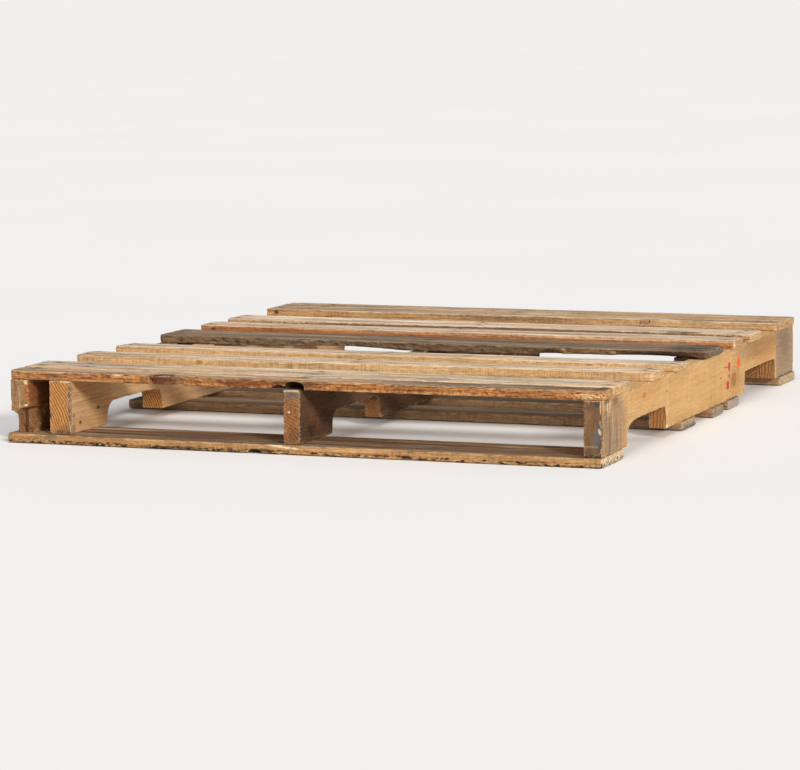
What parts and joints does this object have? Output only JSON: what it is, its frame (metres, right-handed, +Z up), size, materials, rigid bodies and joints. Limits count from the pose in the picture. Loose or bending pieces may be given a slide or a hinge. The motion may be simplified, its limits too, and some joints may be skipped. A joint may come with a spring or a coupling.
{
  "type": "wooden stringer pallet",
  "caption": "Used four-way wooden stringer pallet: nailed top and bottom deck boards on notched stringers, with two repair stringers and worn, chipped and weathered boards.",
  "frame": {"origin": "centre of the footprint, on the underside of the bottom boards", "axes": "+Z up, +Y along the stringers to the rear end, +X along the deck boards to the right seen from the front end"},
  "size_m": [1.03, 1.228, 0.12],
  "materials": {
    "wood_pale_stringer": "sawn, smooth-worn",
    "wood_brown_stringer": "rough-sawn, aged",
    "wood_orange_board": "band-sawn edges, worn grey-tan face",
    "wood_weathered_board": "weathered",
    "wood_grey_board": "weathered grey",
    "wood_dark_grey_board": "deeply weathered, with wane",
    "rusted_nail": "rusted"
  },
  "bodies": {
    "root": {"bottom_board_2": "wood_grey_board", "bottom_board_3": "wood_grey_board", "bottom_board_4": "wood_grey_board", "bottom_lead_board_front": "wood_orange_board", "bottom_lead_board_rear": "wood_weathered_board", "half_stringer_right": "wood_brown_stringer", "nail_bottom_board_2_repair_stringer_left": "rusted_nail", "nail_bottom_board_2_stringer_centre": "rusted_nail", "nail_bottom_board_2_stringer_right": "rusted_nail", "nail_bottom_board_3_stringer_centre": "rusted_nail", "nail_bottom_board_3_stringer_left": "rusted_nail", "nail_bottom_board_3_stringer_right": "rusted_nail", "nail_bottom_board_4_stringer_centre": "rusted_nail", "nail_bottom_board_4_stringer_left": "rusted_nail", "nail_bottom_board_4_stringer_right": "rusted_nail", "nail_bottom_lead_board_front_stringer_centre": "rusted_nail", "nail_bottom_lead_board_front_stringer_left": "rusted_nail", "nail_bottom_lead_board_front_stringer_right": "rusted_nail", "nail_bottom_lead_board_rear_stringer_centre": "rusted_nail", "nail_bottom_lead_board_rear_stringer_left": "rusted_nail", "nail_bottom_lead_board_rear_stringer_right": "rusted_nail", "nail_top_board_2_stringer_centre": "rusted_nail", "nail_top_board_2_stringer_left": "rusted_nail", "nail_top_board_2_stringer_right": "rusted_nail", "nail_top_board_3_stringer_centre": "rusted_nail", "nail_top_board_3_stringer_left": "rusted_nail", "nail_top_board_3_stringer_right": "rusted_nail", "nail_top_board_4_stringer_centre": "rusted_nail", "nail_top_board_4_stringer_left": "rusted_nail", "nail_top_board_4_stringer_right": "rusted_nail", "nail_top_board_5_stringer_centre": "rusted_nail", "nail_top_board_5_stringer_left": "rusted_nail", "nail_top_board_5_stringer_right": "rusted_nail", "nail_top_board_6_stringer_centre": "rusted_nail", "nail_top_board_6_stringer_left": "rusted_nail", "nail_top_board_6_stringer_right": "rusted_nail", "nail_top_board_7_half_stringer_right": "rusted_nail", "nail_top_board_7_repair_stringer_left": "rusted_nail", "nail_top_board_7_stringer_centre": "rusted_nail", "nail_top_board_7_stringer_left": "rusted_nail", "nail_top_board_7_stringer_right": "rusted_nail", "nail_top_lead_board_front_stringer_centre": "rusted_nail", "nail_top_lead_board_front_stringer_left": "rusted_nail", "nail_top_lead_board_front_stringer_right": "rusted_nail", "nail_top_lead_board_rear_repair_stringer_left": "rusted_nail", "nail_top_lead_board_rear_stringer_centre": "rusted_nail", "nail_top_lead_board_rear_stringer_left": "rusted_nail", "nail_top_lead_board_rear_stringer_right": "rusted_nail", "repair_stringer_left": "wood_pale_stringer", "stringer_centre": "wood_brown_stringer", "stringer_left": "wood_brown_stringer", "stringer_right": "wood_pale_stringer", "top_board_2": "wood_weathered_board", "top_board_3": "wood_weathered_board", "top_board_4": "wood_dark_grey_board", "top_board_5": "wood_orange_board", "top_board_6": "wood_weathered_board", "top_board_7": "wood_weathered_board", "top_lead_board_front": "wood_orange_board", "top_lead_board_rear": "wood_weathered_board"}
  },
  "joints": []
}
